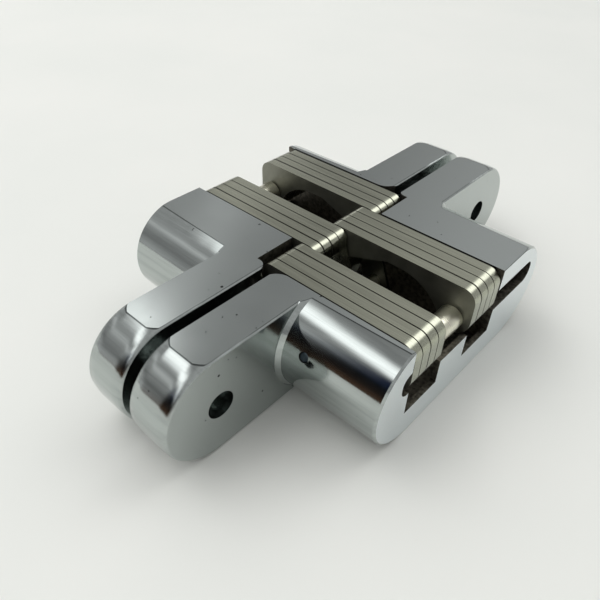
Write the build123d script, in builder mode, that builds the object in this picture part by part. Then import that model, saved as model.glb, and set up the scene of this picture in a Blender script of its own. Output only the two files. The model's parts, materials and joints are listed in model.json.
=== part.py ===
from build123d import *
import os
from math import cos, radians, sin

# A concealed crossed-link door hinge, shut and lying flat: X runs across the hinge, from the door
# leaf (-X) to the frame leaf (+X), Y runs along it and Z is up. The origin is at the middle of its underside.
# The hinge opens downwards, towards -Z. Millimetres.

# Leaf castings
leaf_length = 95.0
leaf_width = 19.0
leaf_depth = 27.5
arm_thickness = 8.4
barrel_length = 50.8
closed_gap = 2.0
arm_rim_swell = 0.05
arm_crest_swell = 0.23
arm_shoulder = 1.8
barrel_root_swell = 0.45
barrel_tip_swell = 0.28
edge_chamfer = 0.35
junction_chamfer = 0.7
floor_thickness = 3.0
floor_setback = 0.8
end_wall_thickness = 1.0
end_sill_height = 5.6
mouth_radius = 3.0
notch_radius = 1.6
overcut = 2.0

# Screw holes in the arms, countersunk from the mating face
screw_spacing = 74.5
screw_hole_diameter = 4.8
countersink_diameter = 8.8
countersink_angle = 90.0

# Slot across the deep end, through which the slider pin is put in
slot_height = 4.4
slot_corner_radius = 1.8
slot_depth = 7.0
slot_near = -19.2
slot_far = 21.5

# Dowel in the side of the barrel
dowel_diameter = 1.8
dowel_setback = 13.1
dowel_angle = 22.5
dowel_recess = 0.06
dowel_length = 3.4

# Laminated links
plate_thickness = 1.95
plate_gap = 0.16
plates_per_pack = 4
pack_count = 4
pack_gap = 0.2
link_drop = 0.1
link_corner_radius = 2.5
hollow_radius = 9.45
hollow_setback = 14.4
bar_thickness = 2.4
bar_straight = 3.0
pivot_eye_radius = 3.0
cross_eye_radius = 2.4
cross_corner_radius = 2.0

# Pivots, on the shut hinge
pivot_inset = 2.8
pivot_height = 3.4
cross_drop = 3.9
slider_setback = 3.4
slider_drop = 6.3
opening_angle = 180.0
groove_mid_angle = 80.0
link_share = 0.68

# Pins
pivot_pin_diameter = 2.8
cross_pin_diameter = 2.4
slider_pin_diameter = 2.6
sleeve_diameter = 4.4
pin_chamfer = 0.25
pin_seat_depth = 3.0

# Clearances
running_clearance = 0.05
seat_clearance = 0.02
side_clearance = 0.3
pocket_clearance = 0.4
notch_clearance = 0.9
groove_depth = 1.8
groove_clearance = 0.6
groove_end_play = 0.2
sleeve_end_play = 0.1

# Places that follow from the sizes above
mid_height = leaf_width / 2
face_x = closed_gap / 2
arm_x = face_x + arm_thickness
deep_x = face_x + leaf_depth
arm_rim_radius = mid_height + arm_rim_swell
arm_crest_radius = mid_height + arm_crest_swell
arm_center = leaf_length / 2 - arm_crest_radius
barrel_root_radius = mid_height + barrel_root_swell
barrel_tip_radius = mid_height + barrel_tip_swell
barrel_center = barrel_length / 2 - barrel_root_radius
flare_x = arm_x + junction_chamfer
tip_x = deep_x - edge_chamfer
pack_thickness = plates_per_pack * plate_thickness + (plates_per_pack - 1) * plate_gap
pack_pitch = pack_thickness + pack_gap
packs_half = (pack_count * pack_pitch - pack_gap) / 2
pack_reach = pack_thickness / 2 + side_clearance
link_top = leaf_width - link_drop
link_end = deep_x - link_drop
cross_height = link_top - cross_drop
hollow_x = link_end - hollow_setback
hollow_height = link_top - bar_thickness - hollow_radius
slider_x = link_end - slider_setback
slider_height = link_top - slider_drop
slot_floor = slider_height - slot_height / 2
pivot_x = face_x + pivot_inset
boss_top = pivot_height + pivot_eye_radius
channel_near = -packs_half - side_clearance
channel_far = pack_pitch / 2 + pack_reach
groove_width = slider_pin_diameter + 2 * groove_clearance
pin_reach = packs_half + side_clearance + pin_seat_depth
barrel_x = arm_x - arm_thickness / 2
above = leaf_width + overcut
before = face_x - overcut
behind = deep_x + overcut

# The dowel stands in the tapered side of the barrel
dowel_x = face_x + dowel_setback
dowel_ratio = (dowel_x - flare_x) / (tip_x - flare_x)
dowel_mouth = barrel_root_radius + (barrel_tip_radius - barrel_root_radius) * dowel_ratio
dowel_foot_radius = dowel_mouth - dowel_recess - dowel_length
dowel_way = (0, -cos(radians(dowel_angle)), sin(radians(dowel_angle)))
dowel_axis = Plane((dowel_x, -barrel_center, mid_height), x_dir=(1, 0, 0), z_dir=dowel_way)
dowel_foot = dowel_axis.offset(dowel_foot_radius)

# Packs 1 and 2 swing from the door leaf and slide in the frame leaf
door_pack_centers = (pack_thickness / 2 - packs_half, pack_pitch / 2)


def turned(point, center, angle):
    """A point of the XZ section turned about a center, from +X towards +Z."""
    dx = point[0] - center[0]
    dz = point[1] - center[1]
    c = cos(radians(angle))
    s = sin(radians(angle))
    return (center[0] + dx * c - dz * s, center[1] + dx * s + dz * c)


def slider_at(opening):
    """Where the door links' slider pin stands in the frame leaf at an opening angle."""
    cross = (0, cross_height)
    moved_cross = turned(cross, (pivot_x, pivot_height), link_share * opening)
    offset_x = moved_cross[0] - cross[0]
    offset_z = moved_cross[1] - cross[1]
    swung = turned((slider_x, slider_height), cross, (1 - link_share) * opening)
    return (swung[0] + offset_x, swung[1] + offset_z)


def at_y(y):
    """The XZ plane at a given Y, whose extrusions run towards -Y."""
    return Plane.XZ.offset(-y)


def straight_run(x_range, half_height, center_y):
    """The straight stretch of the leaf between its two round ends, with bevelled edges."""
    with BuildSketch(at_y(center_y)) as section:
        with Locations(((x_range[0] + x_range[1]) / 2, mid_height)):
            Rectangle(x_range[1] - x_range[0], 2 * half_height)
        chamfer(section.vertices(), edge_chamfer)
    extrude(section.sketch, amount=2 * center_y)


def half_round(profile, end, center_y):
    """A profile of (x, radius) points turned half round about X, outwards at one end of the leaf."""
    first_x = profile[0][0]
    last_x = profile[-1][0]
    points = [(x, mid_height + radius) for x, radius in profile]
    with BuildSketch(at_y(end * center_y)) as section:
        with BuildLine():
            Polyline((first_x, mid_height), *points, (last_x, mid_height), close=True)
        make_face()
    revolve(section.sketch, axis=Axis((0, end * center_y, mid_height), (-end, 0, 0)), revolution_arc=180)


def round_mouth(corner_y, side, radius):
    """Round the corner that the mating face makes with an opening at corner_y, above the pivot pin's boss."""
    far_y = corner_y + side * radius
    with BuildSketch(Plane.XY.offset(boss_top)) as corner:
        with BuildLine():
            CenterArc((face_x + radius, far_y), radius, 180, 90 * side)
            Polyline(
                (face_x, far_y),
                (before, far_y),
                (before, corner_y),
                (face_x + radius, corner_y),
            )
        make_face()
    extrude(corner.sketch, amount=above - boss_top, mode=Mode.SUBTRACT)


def cut_box(x_range, y_range, z_range):
    """Cut a rectangular space out of the part being built."""
    with BuildSketch(Plane.XY.offset(z_range[0])) as plan:
        with Locations(((x_range[0] + x_range[1]) / 2, (y_range[0] + y_range[1]) / 2)):
            Rectangle(x_range[1] - x_range[0], y_range[1] - y_range[0])
    extrude(plan.sketch, amount=z_range[1] - z_range[0], mode=Mode.SUBTRACT)


os.makedirs("parts", exist_ok=True)

with BuildPart() as frame_leaf:
    # Arms and barrel with round ends, ground flat above and below
    straight_run((face_x, arm_x), arm_rim_radius, arm_center)
    straight_run((barrel_x, deep_x), barrel_tip_radius, barrel_center)
    arm_profile = (
        (face_x, arm_rim_radius - edge_chamfer),
        (face_x + edge_chamfer, arm_rim_radius),
        (face_x + arm_shoulder, arm_crest_radius),
        (arm_x - arm_shoulder, arm_crest_radius),
        (arm_x - edge_chamfer, arm_rim_radius),
        (arm_x, arm_rim_radius - edge_chamfer),
    )
    barrel_profile = (
        (barrel_x, barrel_root_radius + junction_chamfer),
        (arm_x, barrel_root_radius + junction_chamfer),
        (flare_x, barrel_root_radius),
        (tip_x, barrel_tip_radius),
        (deep_x, barrel_tip_radius - edge_chamfer),
    )
    for end in (-1, 1):
        half_round(arm_profile, end, arm_center)
        half_round(barrel_profile, end, barrel_center)
    with BuildSketch(Plane.XY):
        with Locations((face_x + leaf_depth / 2, 0)):
            Rectangle(leaf_depth + overcut, leaf_length + overcut)
    extrude(amount=leaf_width, mode=Mode.INTERSECT)

    # Link channel, open at the mating face, the top and the deep end
    cut_box((before, deep_x - end_wall_thickness), (channel_near, channel_far), (floor_thickness, above))
    cut_box((arm_x, behind), (channel_near, channel_far), (slot_floor, above))
    for center in door_pack_centers:
        pack_range = (center - pack_reach, center + pack_reach)
        cut_box((arm_x, behind), pack_range, (end_sill_height, above))
        cut_box((before, face_x + floor_setback), pack_range, (-overcut, above))
    with BuildSketch(Plane.YZ.offset(deep_x - slot_depth)):
        with Locations(((slot_near + slot_far) / 2, slider_height)):
            RectangleRounded(slot_far - slot_near, slot_height, slot_corner_radius)
    extrude(amount=slot_depth + overcut, mode=Mode.SUBTRACT)

    # Rounded corners beside the outer packs
    round_mouth(channel_near, -1, mouth_radius)
    round_mouth(-channel_near, 1, notch_radius)

    # Room for the frame links to swing on their pivot: one slot in the channel, one beside it
    for center in door_pack_centers:
        with BuildSketch(at_y(-center + pack_reach)):
            with Locations((0, cross_height)):
                cross_room = Circle(cross_eye_radius + pocket_clearance)
            with Locations((pivot_x, pivot_height)):
                pivot_room = Circle(pivot_eye_radius + pocket_clearance)
            with Locations((pivot_x, -overcut), (0, -overcut)):
                swing_room = Circle(pivot_eye_radius + pocket_clearance)
            make_hull(cross_room.edges() + pivot_room.edges() + swing_room.edges())
        extrude(amount=2 * pack_reach, mode=Mode.SUBTRACT)
        notch = (before, cross_eye_radius + notch_clearance)
        cut_box(notch, (-center - pack_reach, -center + pack_reach), (cross_height, above))

    # Curved groove in both walls of the channel for the door links' slider pin
    groove_far = channel_far + groove_depth
    with BuildSketch(at_y(groove_far)):
        with BuildLine(mode=Mode.PRIVATE) as slider_path:
            ThreePointArc(slider_at(0), slider_at(groove_mid_angle), slider_at(opening_angle))
        SlotArc(slider_path.edge(), groove_width)
    extrude(amount=groove_far - channel_near + groove_depth, mode=Mode.SUBTRACT)

    # Seats of the pivot pin in the side walls
    with BuildSketch(at_y(pin_reach)):
        with Locations((pivot_x, pivot_height)):
            Circle(pivot_pin_diameter / 2 + seat_clearance)
    extrude(amount=2 * pin_reach, mode=Mode.SUBTRACT)

    # Dowel hole, drilled square to the round side of the barrel
    with BuildSketch(dowel_foot):
        Circle(dowel_diameter / 2 + seat_clearance)
    extrude(amount=dowel_length + overcut, mode=Mode.SUBTRACT)

    # Screw holes
    with Locations(Plane((face_x, 0, mid_height), x_dir=(0, 1, 0), z_dir=(-1, 0, 0))):
        with Locations((-screw_spacing / 2, 0), (screw_spacing / 2, 0)):
            CounterSinkHole(screw_hole_diameter / 2, countersink_diameter / 2, arm_thickness, countersink_angle)
frame_leaf.part.label = "frame_leaf"
export_step(frame_leaf.part, "parts/frame_leaf.step")

with BuildPart() as door_leaf:
    add(frame_leaf.part, rotation=(0, 0, 180))
door_leaf.part.label = "door_leaf"
export_step(door_leaf.part, "parts/door_leaf.step")


def link_outline():
    """A link seen from the side: pivot leg, flush top bar and the hook that holds the slider pin."""
    with Locations((0, cross_height)):
        cross_eye = Circle(cross_eye_radius)
    with Locations((cross_corner_radius - cross_eye_radius, link_top - cross_corner_radius)):
        cross_corner = Circle(cross_corner_radius)
    with Locations((-pivot_x, pivot_height)):
        pivot_eye = Circle(pivot_eye_radius)
    with Locations((hollow_x - bar_straight, link_top - bar_thickness / 2)):
        bar_end = Circle(bar_thickness / 2)
    make_hull(cross_eye.edges() + pivot_eye.edges())
    make_hull(cross_eye.edges() + cross_corner.edges() + bar_end.edges())
    with Locations((hollow_x - bar_straight, link_top)):
        Rectangle(link_end - hollow_x + bar_straight, bar_thickness, align=(Align.MIN, Align.MAX))
    with Locations((hollow_x, link_top)):
        Rectangle(link_end - hollow_x, link_top - slider_height, align=(Align.MIN, Align.MAX))
    with Locations((slider_x, slider_height)):
        Circle(slider_setback)
    with Locations((hollow_x, hollow_height)):
        Circle(hollow_radius, mode=Mode.SUBTRACT)


def link_plate(front_y):
    """One stamped plate of the door links, whose face towards -Y is at front_y."""
    with BuildPart() as plate:
        with BuildSketch(at_y(front_y + plate_thickness)) as outline:
            link_outline()
            fillet(outline.vertices().group_by(Axis.X)[-1].sort_by(Axis.Y)[-1], link_corner_radius)
            with Locations((0, cross_height)):
                Circle(cross_pin_diameter / 2 + running_clearance, mode=Mode.SUBTRACT)
            with Locations((-pivot_x, pivot_height)):
                Circle(pivot_pin_diameter / 2 + running_clearance, mode=Mode.SUBTRACT)
            with Locations((slider_x, slider_height)):
                Circle(slider_pin_diameter / 2 + seat_clearance, mode=Mode.SUBTRACT)
        extrude(amount=plate_thickness)
    return plate.part


# Both link sets: the frame links are the door links turned half round about Z
plate_number = 0
for center in door_pack_centers:
    for layer in range(plates_per_pack):
        plate_number += 1
        front = center - pack_thickness / 2 + layer * (plate_thickness + plate_gap)
        door_plate = link_plate(front)
        door_plate.label = f"door_link_plate_{plate_number}"
        export_step(door_plate, f"parts/{door_plate.label}.step")
        with BuildPart() as frame_plate:
            add(door_plate, rotation=(0, 0, 180))
        frame_plate.part.label = f"frame_link_plate_{plate_number}"
        export_step(frame_plate.part, f"parts/{frame_plate.part.label}.step")


def round_pin(foot, diameter, length, bore=0.0):
    """A chamfered pin that stands on a plane, or a sleeve if it has a bore."""
    with BuildPart() as pin:
        with BuildSketch(foot):
            Circle(diameter / 2)
            if bore:
                Circle(bore / 2, mode=Mode.SUBTRACT)
        extrude(amount=length)
        ends = pin.faces().filter_by(GeomType.PLANE)
        chamfer([max(face.edges(), key=lambda e: e.radius) for face in ends], pin_chamfer)
    return pin.part


def pin_along_y(place, diameter, y_range, bore=0.0):
    """A pin or sleeve along Y through a place in the XZ section."""
    foot = Plane((place[0], y_range[1], place[1]), x_dir=(1, 0, 0), z_dir=(0, -1, 0))
    return round_pin(foot, diameter, y_range[1] - y_range[0], bore)


def export_pair(frame_part, name):
    """Write a piece of the frame side, and the same piece turned half round about Z for the door side."""
    frame_part.label = f"frame_{name}"
    export_step(frame_part, f"parts/frame_{name}.step")
    with BuildPart() as door_part:
        add(frame_part, rotation=(0, 0, 180))
    door_part.part.label = f"door_{name}"
    export_step(door_part.part, f"parts/door_{name}.step")


cross_pin = pin_along_y((0, cross_height), cross_pin_diameter, (-packs_half, packs_half))
cross_pin.label = "cross_pin"
export_step(cross_pin, "parts/cross_pin.step")

pivot_pin = pin_along_y((pivot_x, pivot_height), pivot_pin_diameter, (-pin_reach, pin_reach))
export_pair(pivot_pin, "pivot_pin")

slider_range = (channel_near - groove_depth + groove_end_play, channel_far + groove_depth - groove_end_play)
slider_pin = pin_along_y((slider_x, slider_height), slider_pin_diameter, slider_range)
export_pair(slider_pin, "slider_pin")

sleeve_reach = (pack_pitch + pack_gap) / 2 - sleeve_end_play
sleeve_middle = -pack_pitch / 2
sleeve_range = (sleeve_middle - sleeve_reach, sleeve_middle + sleeve_reach)
sleeve_bore = slider_pin_diameter + 2 * running_clearance
slider_sleeve = pin_along_y((slider_x, slider_height), sleeve_diameter, sleeve_range, sleeve_bore)
export_pair(slider_sleeve, "slider_sleeve")

dowel = round_pin(dowel_foot, dowel_diameter, dowel_length)
export_pair(dowel, "dowel")
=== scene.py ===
import json
import math
import bpy
from mathutils import Matrix, Vector


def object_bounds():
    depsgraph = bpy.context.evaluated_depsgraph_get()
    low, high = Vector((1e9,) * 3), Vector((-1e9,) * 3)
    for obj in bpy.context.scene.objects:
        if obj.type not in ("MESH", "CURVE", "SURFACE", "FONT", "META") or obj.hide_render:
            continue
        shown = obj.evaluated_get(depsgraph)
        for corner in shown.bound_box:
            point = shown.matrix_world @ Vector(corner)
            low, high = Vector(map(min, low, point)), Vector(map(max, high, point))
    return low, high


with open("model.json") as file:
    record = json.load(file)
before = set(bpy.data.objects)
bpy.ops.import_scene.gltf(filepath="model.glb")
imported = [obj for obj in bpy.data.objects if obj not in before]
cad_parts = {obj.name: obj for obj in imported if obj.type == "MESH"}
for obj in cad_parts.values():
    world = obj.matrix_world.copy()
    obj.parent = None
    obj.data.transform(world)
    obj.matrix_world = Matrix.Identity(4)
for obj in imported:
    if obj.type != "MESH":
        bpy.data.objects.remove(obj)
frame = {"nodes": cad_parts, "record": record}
cad_low, cad_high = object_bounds()

# The concealed hinge lies shut on a pale table top. Metres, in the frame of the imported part.
MM = 0.001

# Camera, fitted to the photograph
IMAGE_WIDTH_PX = 600
FOCAL_LENGTH_PX = 572.75
SENSOR_WIDTH_MM = 36.0
EYE = Vector((53.53, -69.885, 75.921)) * MM
AIM = Vector((2.108, -12.253, 10.0)) * MM
ROLL_DEG = 1.37

# Places on the castings that part one finish from another
LEAF_WIDTH = cad_high.z - cad_low.z
DEEP_FACE_X = cad_high.x
ARM_FACE_X = 9.4 * MM
MATING_FACE_X = 1.0 * MM
BARREL_ROUND_Y = 15.45 * MM
BARREL_ROUND_RADIUS = 9.78 * MM
BARREL_END_Y = 25.4 * MM
SCREW_HALF_SPACING = 37.25 * MM
SCREW_HEAD_RADIUS = 4.5 * MM
SKIN_DEPTH = 0.55 * MM
FACE_MARGIN = SKIN_DEPTH / 5

# How closely a face has to look along an axis: a ground flat, and any other flat face
GROUND_COSINE = 0.99
FLAT_COSINE = 0.9

# The finishes of a casting and of a link plate, in the order of their material slots
BUFFED, GROUND, TUMBLED, AS_CAST_SHADE = range(4)
RUBBED, ROLLED = range(2)

# The crowned ends of the arms, whose small steps buffing blends
CROWN_START_Y = 30.0 * MM
CROWN_FULL_Y = 36.0 * MM
CROWN_BLEND_RADIUS = 1.4 * MM

# The thin dark line of painted shade in the crease below the top of a casting
CREASE_SHADE_LOW_Z = cad_high.z - 0.08 * MM
CREASE_SHADE_HIGH_Z = cad_high.z - 0.03 * MM

# Reach of the painted shade beside the tightest and the loosest seam between two plates
TIGHT_SEAM = 0.06 * MM
LOOSE_SEAM = 0.36 * MM

# How many samples a softened edge is averaged over
EDGE_SAMPLES = 8

# The room that the chrome mirrors: soft grey bands across one direction, dim in front, with three lamps
BAND_DIRECTION = (0.648, 0.529, 0.547)
ROOM_BRIGHTNESS = 0.93
DIM_FRONT_EDGE = -0.6
DIM_FRONT_CORE = -0.75
DIM_SIDE = (1.0, 0.0, -0.37)
DIM_SIDE_EDGE = -0.75
DIM_SIDE_CORE = -0.5
LONG_LAMP_BRIGHTNESS = 1.6
WINDOW_DIRECTION = (0.17, 0.67, 0.72)
WINDOW_EDGE_DEG = 21.5
WINDOW_CORE_DEG = 10.0
WINDOW_BRIGHTNESS = 1.95
SIDE_LAMP_DIRECTION = (-0.69, 0.285, 0.665)
SIDE_LAMP_EDGE_DEG = 7.9
SIDE_LAMP_CORE_DEG = 3.1
SIDE_LAMP_BRIGHTNESS = 1.35

# The table and the two soft boxes that light it
TABLE_SIZE = 3.0
TABLE_GAP = 0.02 * MM
SOFT_BOX_SIZE = 1.5
CEILING_PANEL_PLACE = Vector((-850, 300, 1180)) * MM
CEILING_PANEL_WATTS = 7.7
FILL_PANEL_PLACE = Vector((-800, -650, 1050)) * MM
FILL_PANEL_WATTS = 7.2


def linear(hex_colour):
    """An sRGB hex colour as linear RGBA."""
    channels = [int(hex_colour[i:i + 2], 16) / 255 for i in (1, 3, 5)]
    return [c / 12.92 if c <= 0.04045 else ((c + 0.055) / 1.055) ** 2.4 for c in channels] + [1.0]


def add(tree, kind, inputs=None, stops=(), **settings):
    """A new node with its settings, its values and links, and the hex colours of its ramp."""
    node = tree.nodes.new(kind)
    for name, value in settings.items():
        setattr(node, name, value)
    for socket, value in (inputs or {}).items():
        if isinstance(value, bpy.types.NodeSocket):
            tree.links.new(value, node.inputs[socket])
        else:
            node.inputs[socket].default_value = value
    for index, (place, colour) in enumerate(stops):
        elements = node.color_ramp.elements
        stop = elements[index] if index < 2 else elements.new(place)
        stop.position = place
        stop.color = linear(colour)
    return node


def per_metre(size_mm):
    """Texture scale that repeats about once in a size given in millimetres."""
    return 1000.0 / size_mm


def new_material(name):
    """An empty node material, its tree and the place on the piece."""
    material = bpy.data.materials.new(name)
    material.use_nodes = True
    tree = material.node_tree
    tree.nodes.clear()
    return material, tree, add(tree, "ShaderNodeTexCoord").outputs["Object"]


def give_surface(tree, inputs):
    """Finish a material with its metal or plastic shader."""
    shader = add(tree, "ShaderNodeBsdfPrincipled", inputs)
    add(tree, "ShaderNodeOutputMaterial", {"Surface": shader.outputs["BSDF"]})


def pin_holes(tree, place, spacing_mm, largest):
    """A mask of the small gas pores that grinding opens in die-cast zinc, in loose groups."""
    cells = add(tree, "ShaderNodeTexVoronoi", {"Vector": place, "Scale": per_metre(spacing_mm)})
    # Pores are largest in the middle of a group, and between the groups there are none
    groups = add(tree, "ShaderNodeTexNoise", {"Vector": place, "Scale": per_metre(4.0)})
    reach = add(tree, "ShaderNodeMapRange", {
        "Value": groups.outputs["Fac"], "From Min": 0.47, "From Max": 0.7, "To Max": largest,
    })
    inside = add(tree, "ShaderNodeMath", {
        0: cells.outputs["Distance"], 1: reach.outputs["Result"],
    }, operation="LESS_THAN")
    return inside.outputs["Value"]


def blended_crown(tree, y):
    """The normal of a casting with the steps of the arms' ends blended; the barrels are straight already."""
    from_middle = add(tree, "ShaderNodeMath", {0: y}, operation="ABSOLUTE")
    blend = add(tree, "ShaderNodeMapRange", {
        "Value": from_middle.outputs["Value"],
        "From Min": CROWN_START_Y,
        "From Max": CROWN_FULL_Y,
        "To Max": CROWN_BLEND_RADIUS,
    })
    soft_edges = add(tree, "ShaderNodeBevel", {"Radius": blend.outputs["Result"]}, samples=EDGE_SAMPLES)
    return soft_edges.outputs["Normal"]


def mop_marks(tree, place, along, normal):
    """The normal of buffed chrome: faint waves, and streaks along the mop's way."""
    waves = add(tree, "ShaderNodeTexNoise", {"Vector": place, "Scale": per_metre(7.0), "Detail": 1.0})
    wavy = add(tree, "ShaderNodeBump", {
        "Height": waves.outputs["Fac"], "Strength": 0.06, "Distance": 0.3 * MM, "Normal": normal,
    })
    # Mop marks are finer than this; they are drawn about 0.5 mm apart so that they show
    streaks = add(tree, "ShaderNodeTexNoise", {"Vector": along, "Scale": per_metre(0.5), "Detail": 2.0})
    streaked = add(tree, "ShaderNodeBump", {
        "Height": streaks.outputs["Fac"],
        "Strength": 0.03,
        "Distance": 0.05 * MM,
        "Normal": wavy.outputs["Normal"],
    })
    return streaked.outputs["Normal"]


def chrome_plated_zinc_buffed():
    """Buffed chrome on zinc: mirror-like rounds, with the faint waves and streaks that the mop leaves."""
    material, tree, place = new_material("chrome_plated_zinc_buffed")
    parts = add(tree, "ShaderNodeSeparateXYZ", {"Vector": place})
    # Streaks and smears are stretched along X, the mop's way
    along = add(tree, "ShaderNodeMapping", {"Vector": place, "Scale": (0.05, 1.0, 1.0)}).outputs["Vector"]
    haze = add(tree, "ShaderNodeTexNoise", {"Vector": place, "Scale": per_metre(2.2), "Detail": 4.0})
    rough = add(tree, "ShaderNodeMapRange", {"Value": haze.outputs["Fac"], "To Min": 0.06, "To Max": 0.14})
    smears = add(tree, "ShaderNodeTexNoise", {
        "Vector": along, "Scale": per_metre(1.1), "Detail": 5.0, "Roughness": 0.65,
    })
    plated = add(tree, "ShaderNodeValToRGB", {"Fac": smears.outputs["Fac"]}, [
        (0.36, "#A9AFAD"), (0.55, "#B6BCBA"),
    ])
    pitted = add(tree, "ShaderNodeMix", {
        "Factor": pin_holes(tree, place, spacing_mm=1.5, largest=0.12),
        "A": plated.outputs["Color"],
        "B": linear("#5A5C5B"),
    }, data_type="RGBA")
    # A thin dark line of painted shade is drawn along the crease between a round and the flat beside it
    crease_shade = add(tree, "ShaderNodeMapRange", {
        "Value": parts.outputs["Z"], "From Min": CREASE_SHADE_LOW_Z, "From Max": CREASE_SHADE_HIGH_Z,
    })
    colour = add(tree, "ShaderNodeMix", {
        "Factor": crease_shade.outputs["Result"], "A": pitted.outputs["Result"], "B": linear("#4C5150"),
    }, data_type="RGBA")
    give_surface(tree, {
        "Base Color": colour.outputs["Result"],
        "Metallic": 1.0,
        "Roughness": rough.outputs["Result"],
        "Normal": mop_marks(tree, place, along, blended_crown(tree, parts.outputs["Y"])),
    })
    return material


def chrome_plated_zinc_ground():
    """Chrome over ground flats: nearly a mirror, a little cloudy, with pin holes from the casting."""
    material, tree, place = new_material("chrome_plated_zinc_ground")
    cloud = add(tree, "ShaderNodeTexNoise", {"Vector": place, "Scale": per_metre(5.0), "Detail": 5.0})
    rough = add(tree, "ShaderNodeMapRange", {"Value": cloud.outputs["Fac"], "To Min": 0.12, "To Max": 0.22})
    pits = pin_holes(tree, place, spacing_mm=1.7, largest=0.17)
    colour = add(tree, "ShaderNodeMix", {
        "Factor": pits, "A": linear("#B4BAB8"), "B": linear("#4B4D4C"),
    }, data_type="RGBA")
    bump = add(tree, "ShaderNodeBump", {
        "Height": pits, "Strength": 0.35, "Distance": 0.05 * MM,
    }, invert=True)
    give_surface(tree, {
        "Base Color": colour.outputs["Result"],
        "Metallic": 1.0,
        "Roughness": rough.outputs["Result"],
        "Normal": bump.outputs["Normal"],
    })
    return material


def chrome_plated_zinc_tumbled():
    """Chrome over a tumbled end wall: satin, with a soft grain and cloudy patches."""
    material, tree, place = new_material("chrome_plated_zinc_tumbled")
    # The grain of tumbling is finer than this; it is drawn 0.5 mm wide so that it shows
    grain = add(tree, "ShaderNodeTexNoise", {"Vector": place, "Scale": per_metre(0.5), "Detail": 3.0})
    cloud = add(tree, "ShaderNodeTexNoise", {"Vector": place, "Scale": per_metre(6.0), "Detail": 4.0})
    rough = add(tree, "ShaderNodeMapRange", {"Value": cloud.outputs["Fac"], "To Min": 0.28, "To Max": 0.42})
    bump = add(tree, "ShaderNodeBump", {
        "Height": grain.outputs["Fac"], "Strength": 0.12, "Distance": 0.05 * MM,
    })
    give_surface(tree, {
        "Base Color": linear("#E6ECEE"),
        "Metallic": 1.0,
        "Roughness": rough.outputs["Result"],
        "Normal": bump.outputs["Normal"],
    })
    return material


def zinc_as_cast_painted_shade():
    """Unpolished casting inside the channel: dull and grainy, and painted dark brown-grey as painted shade,
    nearly black where no light gets in.
    """
    material, tree, place = new_material("zinc_as_cast_painted_shade")
    # The skin of a casting is finer than this; its grain is drawn 0.7 mm wide so that it shows
    grain = add(tree, "ShaderNodeTexNoise", {"Vector": place, "Scale": per_metre(0.7), "Detail": 4.0})
    # The dark brown-grey colour is painted shade for the inside of the channel; the grain is the casting's
    # own skin
    colour = add(tree, "ShaderNodeValToRGB", {"Fac": grain.outputs["Fac"]}, [
        (0.35, "#4E4B44"), (0.7, "#7E7A70"),
    ])
    bump = add(tree, "ShaderNodeBump", {
        "Height": grain.outputs["Fac"], "Strength": 0.4, "Distance": 0.1 * MM,
    })
    give_surface(tree, {
        "Base Color": colour.outputs["Color"],
        "Metallic": 1.0,
        "Roughness": 0.5,
        "Normal": bump.outputs["Normal"],
    })
    return material


def plate_seam_shade(tree, place):
    """A mask of painted shade along the seams between the plates, wider where two plates lie less tight
    together.
    """
    # How tight the plates lie changes from seam to seam along Y, and little along a seam
    across = add(tree, "ShaderNodeMapping", {"Vector": place, "Scale": (0.03, 1.0, 0.03)})
    packing = add(tree, "ShaderNodeTexNoise", {
        "Vector": across.outputs["Vector"], "Scale": per_metre(1.6), "Detail": 0.0,
    })
    width = add(tree, "ShaderNodeMapRange", {
        "Value": packing.outputs["Fac"],
        "From Min": 0.45,
        "From Max": 0.62,
        "To Min": TIGHT_SEAM,
        "To Max": LOOSE_SEAM,
    })
    rounded = add(tree, "ShaderNodeBevel", {"Radius": width.outputs["Result"]}, samples=EDGE_SAMPLES)
    # A seam is where the softened edge turns away from the flat
    plain = add(tree, "ShaderNodeNewGeometry")
    alike = add(tree, "ShaderNodeVectorMath", {
        0: rounded.outputs["Normal"], 1: plain.outputs["Normal"],
    }, operation="DOT_PRODUCT")
    seam = add(tree, "ShaderNodeMapRange", {
        "Value": alike.outputs["Value"], "From Min": 0.99, "From Max": 0.86,
    })
    return seam.outputs["Result"]


def nickel_plated_steel_rubbed():
    """Edges of the link plates, plated and rubbed along the pack: greenish grey with straight scratches."""
    material, tree, place = new_material("nickel_plated_steel_rubbed")
    along = add(tree, "ShaderNodeMapping", {"Vector": place, "Scale": (0.02, 1.0, 1.0)})
    # Real scratches are hairlines; they are drawn 0.25 mm apart so that they show
    scratches = add(tree, "ShaderNodeTexNoise", {
        "Vector": along.outputs["Vector"], "Scale": per_metre(0.25), "Detail": 3.0, "Roughness": 0.6,
    })
    tone = add(tree, "ShaderNodeValToRGB", {"Fac": scratches.outputs["Fac"]}, [
        (0.3, "#A6A898"), (0.7, "#B9BBAA"),
    ])
    # The seams are painted dark: painted shade in the gaps between the plates
    colour = add(tree, "ShaderNodeMix", {
        "Factor": plate_seam_shade(tree, place), "A": tone.outputs["Color"], "B": linear("#35332D"),
    }, data_type="RGBA")
    rough = add(tree, "ShaderNodeMapRange", {
        "Value": scratches.outputs["Fac"], "To Min": 0.14, "To Max": 0.28,
    })
    bump = add(tree, "ShaderNodeBump", {
        "Height": scratches.outputs["Fac"], "Strength": 0.1, "Distance": 0.04 * MM,
    })
    give_surface(tree, {
        "Base Color": colour.outputs["Result"],
        "Metallic": 1.0,
        "Roughness": rough.outputs["Result"],
        "Normal": bump.outputs["Normal"],
    })
    return material


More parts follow.
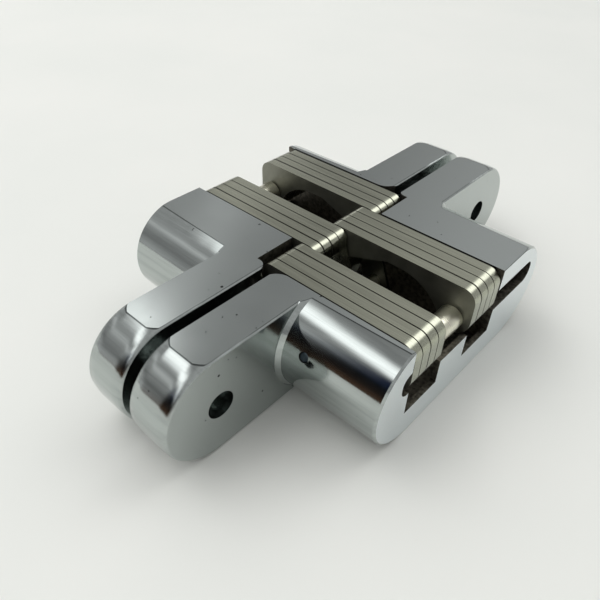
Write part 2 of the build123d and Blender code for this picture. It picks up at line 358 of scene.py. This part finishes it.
def nickel_plated_steel_rolled():
    """Flat sides of the link plates, as rolled and plated: darker and duller than the edges, in clouds."""
    material, tree, place = new_material("nickel_plated_steel_rolled")
    cloud = add(tree, "ShaderNodeTexNoise", {"Vector": place, "Scale": per_metre(3.0), "Detail": 4.0})
    tone = add(tree, "ShaderNodeValToRGB", {"Fac": cloud.outputs["Fac"]}, [
        (0.3, "#86867C"), (0.7, "#98988D"),
    ])
    rough = add(tree, "ShaderNodeMapRange", {"Value": cloud.outputs["Fac"], "To Min": 0.42, "To Max": 0.58})
    give_surface(tree, {
        "Base Color": tone.outputs["Color"],
        "Metallic": 1.0,
        "Roughness": rough.outputs["Result"],
    })
    return material


def bright_steel_turned():
    """Turned pins and sleeves: bright, with fine rings round the axis."""
    material, tree, place = new_material("bright_steel_turned")
    around = add(tree, "ShaderNodeMapping", {"Vector": place, "Scale": (0.02, 1.0, 0.02)})
    # Tool marks are finer than this; they are drawn 0.3 mm apart so that they show
    rings = add(tree, "ShaderNodeTexNoise", {
        "Vector": around.outputs["Vector"], "Scale": per_metre(0.3), "Detail": 2.0,
    })
    rough = add(tree, "ShaderNodeMapRange", {"Value": rings.outputs["Fac"], "To Min": 0.24, "To Max": 0.34})
    bump = add(tree, "ShaderNodeBump", {
        "Height": rings.outputs["Fac"], "Strength": 0.06, "Distance": 0.04 * MM,
    })
    give_surface(tree, {
        "Base Color": linear("#E6E4D2"),
        "Metallic": 1.0,
        "Roughness": rough.outputs["Result"],
        "Normal": bump.outputs["Normal"],
    })
    return material


def blued_steel_sawn():
    """Hardened dowel, dark blue-grey on its sawn end."""
    material, tree, place = new_material("blued_steel_sawn")
    stain = add(tree, "ShaderNodeTexNoise", {"Vector": place, "Scale": per_metre(0.6), "Detail": 3.0})
    colour = add(tree, "ShaderNodeValToRGB", {"Fac": stain.outputs["Fac"]}, [
        (0.3, "#38424A"), (0.75, "#58636A"),
    ])
    give_surface(tree, {"Base Color": colour.outputs["Color"], "Metallic": 1.0, "Roughness": 0.4})
    return material


def pale_table_laminate():
    """Matt white laminate: even, with a hardly visible mottle."""
    material, tree, place = new_material("pale_table_laminate")
    mottle = add(tree, "ShaderNodeTexNoise", {"Vector": place, "Scale": per_metre(60.0), "Detail": 3.0})
    colour = add(tree, "ShaderNodeValToRGB", {"Fac": mottle.outputs["Fac"]}, [
        (0.3, "#E2E4DF"), (0.7, "#E6E7E2"),
    ])
    give_surface(tree, {"Base Color": colour.outputs["Color"], "Roughness": 0.55, "Specular IOR Level": 0.3})
    return material


def casting_finish(center, normal):
    """Which finish a face of a casting has, by its place and the way it faces."""
    x = abs(center.x)
    y = abs(center.y)
    height = center.z - cad_low.z
    near_flat = min(height, LEAF_WIDTH - height) < SKIN_DEPTH
    across_leaf = abs(normal.x) > FLAT_COSINE
    # Top and underside, then the mating faces and the outer faces of the arms
    if near_flat and abs(normal.z) > GROUND_COSINE:
        return GROUND
    if across_leaf and (x < MATING_FACE_X + FACE_MARGIN or abs(x - ARM_FACE_X) < FACE_MARGIN):
        return GROUND
    # The end wall of the deep part
    if across_leaf and x > DEEP_FACE_X - FACE_MARGIN:
        return TUMBLED
    # Screw holes and their countersinks
    to_screw = math.hypot(y - SCREW_HALF_SPACING, height - LEAF_WIDTH / 2)
    if to_screw < SCREW_HEAD_RADIUS and x < ARM_FACE_X - FACE_MARGIN:
        return GROUND
    # Barrels, bright outside and left as cast inside, where the colour is painted shade
    if x > ARM_FACE_X and y > BARREL_ROUND_Y:
        radius = math.hypot(y - BARREL_ROUND_Y, height - LEAF_WIDTH / 2)
        return BUFFED if radius > BARREL_ROUND_RADIUS - SKIN_DEPTH else AS_CAST_SHADE
    # Arms and soft edges, and then the channel and the grooves
    return BUFFED if near_flat or y > BARREL_END_Y - SKIN_DEPTH else AS_CAST_SHADE


def give_slots(mesh, finishes):
    """Replace the material slots of a piece."""
    mesh.materials.clear()
    for finish in finishes:
        mesh.materials.append(finish)


def meshes_in_slot(slot):
    """The meshes of every piece that has this material slot in the record."""
    subparts = frame["record"]["subparts"]
    return [frame["nodes"][part["node"]].data for part in subparts if part["material_slot"] == slot]


def dress_castings():
    """Give each face of both castings its own finish."""
    finishes = [
        chrome_plated_zinc_buffed(),
        chrome_plated_zinc_ground(),
        chrome_plated_zinc_tumbled(),
        zinc_as_cast_painted_shade(),
    ]
    for mesh in meshes_in_slot("chrome_plated_zinc"):
        give_slots(mesh, finishes)
        for face in mesh.polygons:
            face.material_index = casting_finish(face.center, face.normal)


def dress_links():
    """Give the link plates rubbed edges and plain rolled sides."""
    finishes = [nickel_plated_steel_rubbed(), nickel_plated_steel_rolled()]
    for mesh in meshes_in_slot("satin_link_steel"):
        give_slots(mesh, finishes)
        for face in mesh.polygons:
            face.material_index = ROLLED if abs(face.normal.y) > FLAT_COSINE else RUBBED


def dress_pins():
    """Give pins, sleeves and dowels the finish that their slot in the record names."""
    finishes = {"bright_pin_steel": bright_steel_turned(), "dowel_steel": blued_steel_sawn()}
    for slot, finish in finishes.items():
        for mesh in meshes_in_slot(slot):
            give_slots(mesh, [finish])


def lay_table():
    """The pale table top that the hinge lies on."""
    bpy.ops.mesh.primitive_plane_add(size=TABLE_SIZE, location=(0, 0, cad_low.z - TABLE_GAP))
    table = bpy.context.object
    table.name = "table_top"
    table.data.materials.append(pale_table_laminate())


def set_camera():
    """The camera at the photograph's place, direction, roll and focal length."""
    data = bpy.data.cameras.new("photo_camera")
    data.sensor_width = SENSOR_WIDTH_MM
    data.lens = FOCAL_LENGTH_PX / IMAGE_WIDTH_PX * SENSOR_WIDTH_MM
    data.clip_start = MM
    camera = bpy.data.objects.new("photo_camera", data)
    bpy.context.scene.collection.objects.link(camera)
    ahead = (AIM - EYE).normalized()
    turn = ahead.to_track_quat("-Z", "Y").to_matrix().to_4x4()
    camera.matrix_world = Matrix.Translation(EYE) @ turn @ Matrix.Rotation(math.radians(ROLL_DEG), 4, "Z")
    bpy.context.scene.camera = camera


def soft_box(name, place, watts):
    """A square soft box over the table, aimed at the hinge; metal mirrors the room alone."""
    data = bpy.data.lights.new(name, "AREA")
    data.size = SOFT_BOX_SIZE
    data.energy = watts
    light = bpy.data.objects.new(name, data)
    light.visible_glossy = False
    light.location = place
    light.rotation_euler = (-place).to_track_quat("-Z", "Y").to_euler()
    bpy.context.scene.collection.objects.link(light)


def dim_front(tree, way):
    """Where the front of the room is dim, and its colour: brown low down and blue-black higher up."""
    parts = add(tree, "ShaderNodeSeparateXYZ", {"Vector": way})
    front = add(tree, "ShaderNodeMapRange", {
        "Value": parts.outputs["Y"], "From Min": DIM_FRONT_EDGE, "From Max": DIM_FRONT_CORE,
    }, interpolation_type="SMOOTHSTEP")
    leaning = add(tree, "ShaderNodeVectorMath", {0: way, 1: DIM_SIDE}, operation="DOT_PRODUCT")
    aside = add(tree, "ShaderNodeMapRange", {
        "Value": leaning.outputs["Value"], "From Min": DIM_SIDE_EDGE, "From Max": DIM_SIDE_CORE,
    }, interpolation_type="SMOOTHSTEP")
    dim = add(tree, "ShaderNodeMath", {
        0: front.outputs["Result"], 1: aside.outputs["Result"],
    }, operation="MULTIPLY")
    colour = add(tree, "ShaderNodeValToRGB", {"Fac": parts.outputs["Z"]}, [
        (0.0, "#5A4334"), (0.2, "#2A221E"), (0.4, "#15181C"), (0.55, "#1E2A44"),
    ])
    return dim.outputs["Value"], colour.outputs["Color"]


def room_walls(tree, way, across):
    """The grey walls in soft bands, with the dim front of the room."""
    share = add(tree, "ShaderNodeMapRange", {"Value": across, "From Min": -1.0, "From Max": 1.0})
    walls = add(tree, "ShaderNodeValToRGB", {"Fac": share.outputs["Result"]}, [
        (0.0, "#A0A0A0"), (0.1, "#CBCBCB"), (0.175, "#909090"), (0.27, "#B4B4B4"), (0.315, "#E8E8E8"),
        (0.36, "#B6B6B6"), (0.6, "#AEAEAE"), (0.64, "#9B9B9B"), (0.76, "#C9C9C9"), (1.0, "#BEBEBE"),
    ])
    dim, dim_colour = dim_front(tree, way)
    colour = add(tree, "ShaderNodeMix", {
        "Factor": dim, "A": walls.outputs["Color"], "B": dim_colour,
    }, data_type="RGBA")
    light = add(tree, "ShaderNodeBackground", {
        "Color": colour.outputs["Result"], "Strength": ROOM_BRIGHTNESS,
    })
    return light.outputs["Background"]


def long_lamp(tree, way, across):
    """A long lamp over the hinge, as one bright band with four soft edges."""
    x = add(tree, "ShaderNodeSeparateXYZ", {"Vector": way}).outputs["X"]
    # For each edge: what it is measured by, where the lamp ends and where it is fully lit
    edges = (
        (across, -0.22, -0.05),
        (across, 0.2, 0.01),
        (x, -0.695, -0.65),
        (x, 0.35, 0.1),
    )
    power = LONG_LAMP_BRIGHTNESS
    for measure, end, lit in edges:
        edge = add(tree, "ShaderNodeMapRange", {
            "Value": measure, "From Min": end, "From Max": lit,
        }, interpolation_type="SMOOTHSTEP")
        part = add(tree, "ShaderNodeMath", {0: edge.outputs["Result"], 1: power}, operation="MULTIPLY")
        power = part.outputs["Value"]
    lamp = add(tree, "ShaderNodeBackground", {"Color": linear("#FFFFFF"), "Strength": power})
    return lamp.outputs["Background"]


def round_lamp(tree, way, direction, edge_deg, core_deg, brightness):
    """A round soft lamp or window, seen in one direction."""
    toward = add(tree, "ShaderNodeVectorMath", {0: way, 1: direction}, operation="DOT_PRODUCT")
    power = add(tree, "ShaderNodeMapRange", {
        "Value": toward.outputs["Value"],
        "From Min": math.cos(math.radians(edge_deg)),
        "From Max": math.cos(math.radians(core_deg)),
        "To Max": brightness,
    }, interpolation_type="SMOOTHSTEP")
    lamp = add(tree, "ShaderNodeBackground", {
        "Color": linear("#FFFFFF"), "Strength": power.outputs["Result"],
    })
    return lamp.outputs["Background"]


def light_room():
    """The room in the chrome, a plain backdrop straight behind the table, and two soft boxes over it."""
    world = bpy.data.worlds.new("workshop")
    bpy.context.scene.world = world
    world.use_nodes = True
    tree = world.node_tree
    tree.nodes.clear()
    way = add(tree, "ShaderNodeTexCoord").outputs["Generated"]
    bands = add(tree, "ShaderNodeVectorMath", {0: way, 1: BAND_DIRECTION}, operation="DOT_PRODUCT")
    across = bands.outputs["Value"]
    room = room_walls(tree, way, across)
    lamps = (
        long_lamp(tree, way, across),
        round_lamp(tree, way, WINDOW_DIRECTION, WINDOW_EDGE_DEG, WINDOW_CORE_DEG, WINDOW_BRIGHTNESS),
        round_lamp(
            tree, way, SIDE_LAMP_DIRECTION, SIDE_LAMP_EDGE_DEG, SIDE_LAMP_CORE_DEG, SIDE_LAMP_BRIGHTNESS,
        ),
    )
    for lamp in lamps:
        room = add(tree, "ShaderNodeAddShader", {0: room, 1: lamp}).outputs["Shader"]
    backdrop = add(tree, "ShaderNodeBackground", {"Color": linear("#DCDDD9")})
    seen = add(tree, "ShaderNodeLightPath").outputs["Is Camera Ray"]
    scenery = add(tree, "ShaderNodeMixShader", {0: seen, 1: room, 2: backdrop.outputs["Background"]})
    add(tree, "ShaderNodeOutputWorld", {"Surface": scenery.outputs["Shader"]})
    soft_box("ceiling_panel", CEILING_PANEL_PLACE, CEILING_PANEL_WATTS)
    soft_box("fill_panel", FILL_PANEL_PLACE, FILL_PANEL_WATTS)


dress_castings()
dress_links()
dress_pins()
lay_table()
set_camera()
light_room()
bpy.context.scene.view_settings.view_transform = "Standard"
